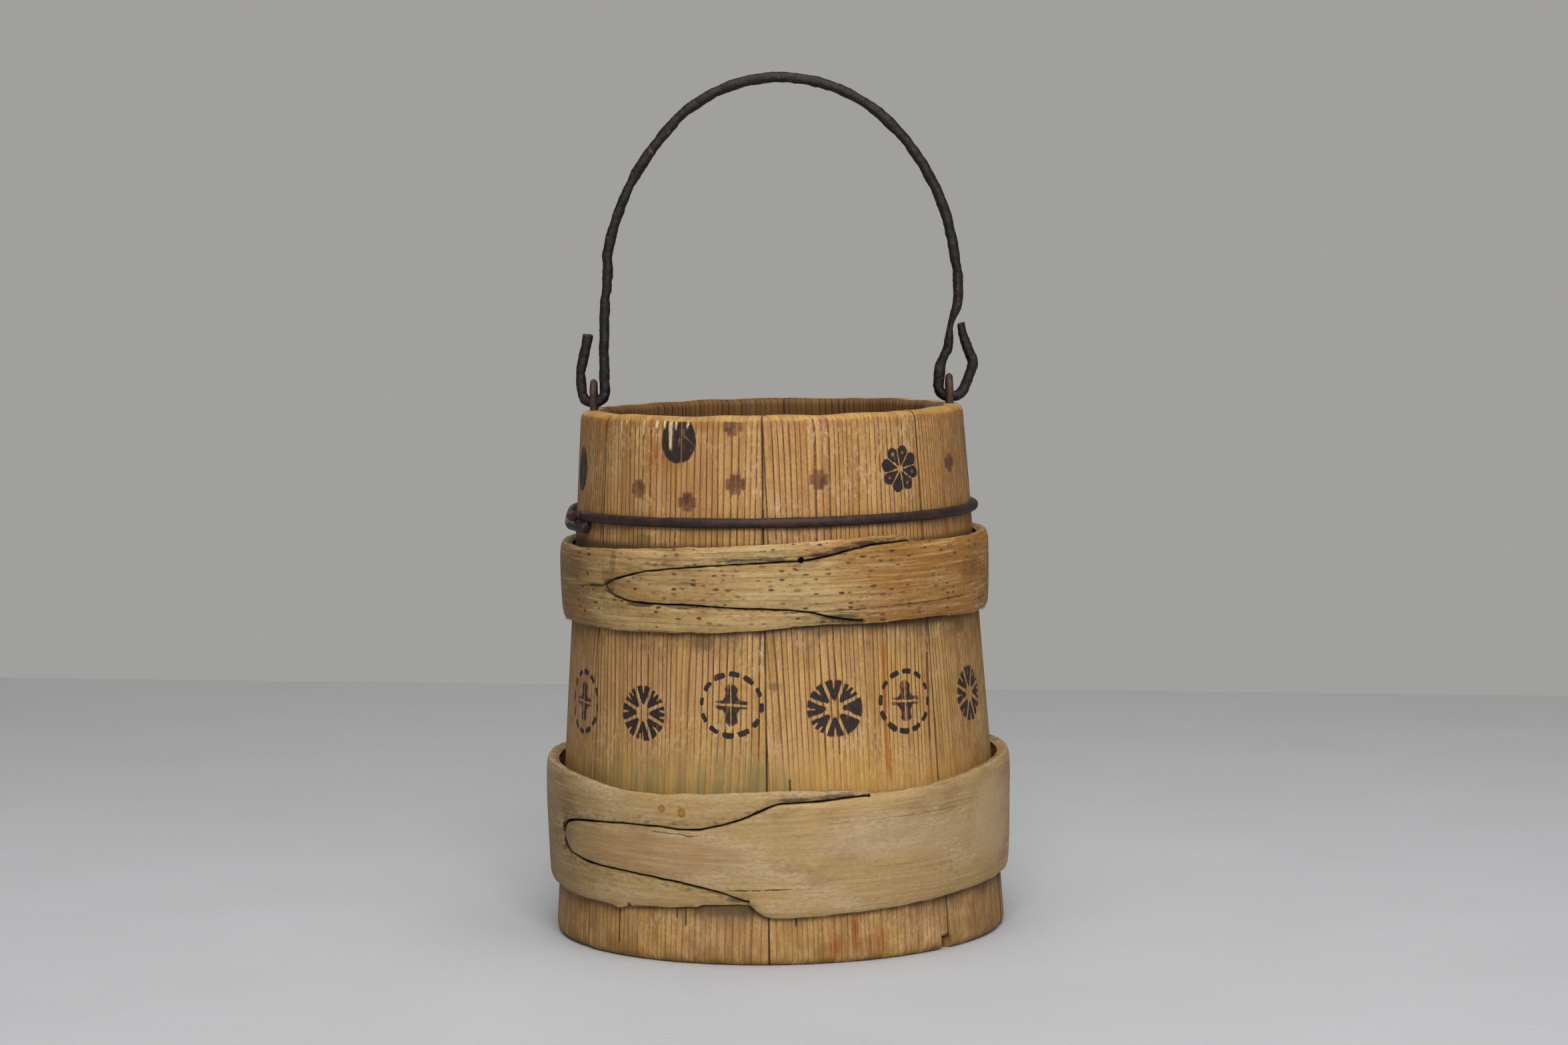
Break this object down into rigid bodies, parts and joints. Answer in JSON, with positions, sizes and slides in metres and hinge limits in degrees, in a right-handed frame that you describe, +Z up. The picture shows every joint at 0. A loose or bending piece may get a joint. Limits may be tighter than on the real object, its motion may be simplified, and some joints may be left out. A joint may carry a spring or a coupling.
{
  "type": "stave-built wooden pail with bail handle",
  "caption": "Small tapered stave pail with two locked wooden hoops, an iron wire hoop and a swinging iron bail hooked in rim staples; holds and carries liquids or dry goods.",
  "frame": {"origin": "centre of the base on the surface it stands on", "axes": "+Z up along the pail's axis, -Y towards the lapped front, +X to the right seen from the front"},
  "size_m": [0.1792, 0.1791, 0.3268],
  "materials": {
    "stave_wood": "bare honey-brown pine, worn smooth, with burnt stamps",
    "board_wood": "bare pine, darkened by use",
    "hoop_wood": "split hoop wood, grey-tan, cracked and stained",
    "wire_iron": "forged wire, rust-brown and nearly black",
    "staple_iron": "drawn wire, browned",
    "bail_iron": "pitted forged rod, rust-brown and nearly black"
  },
  "bodies": {
    "pail": {"stave_1": "stave_wood", "stave_2": "stave_wood", "stave_3": "stave_wood", "stave_4": "stave_wood", "stave_5": "stave_wood", "stave_6": "stave_wood", "stave_7": "stave_wood", "stave_8": "stave_wood", "stave_9": "stave_wood", "bottom_board": "board_wood", "upper_hoop": "hoop_wood", "lower_hoop": "hoop_wood", "wire_hoop": "wire_iron", "staple_left": "staple_iron", "staple_right": "staple_iron"},
    "bail": {"bail": "bail_iron"}
  },
  "joints": [
    {"name": "bail_swing", "type": "hinge", "parent": "pail", "child": "bail", "pos_m": [0, 0, 0.20235], "axis": [1, 0, 0], "range_deg": [-90, 90]}
  ]
}
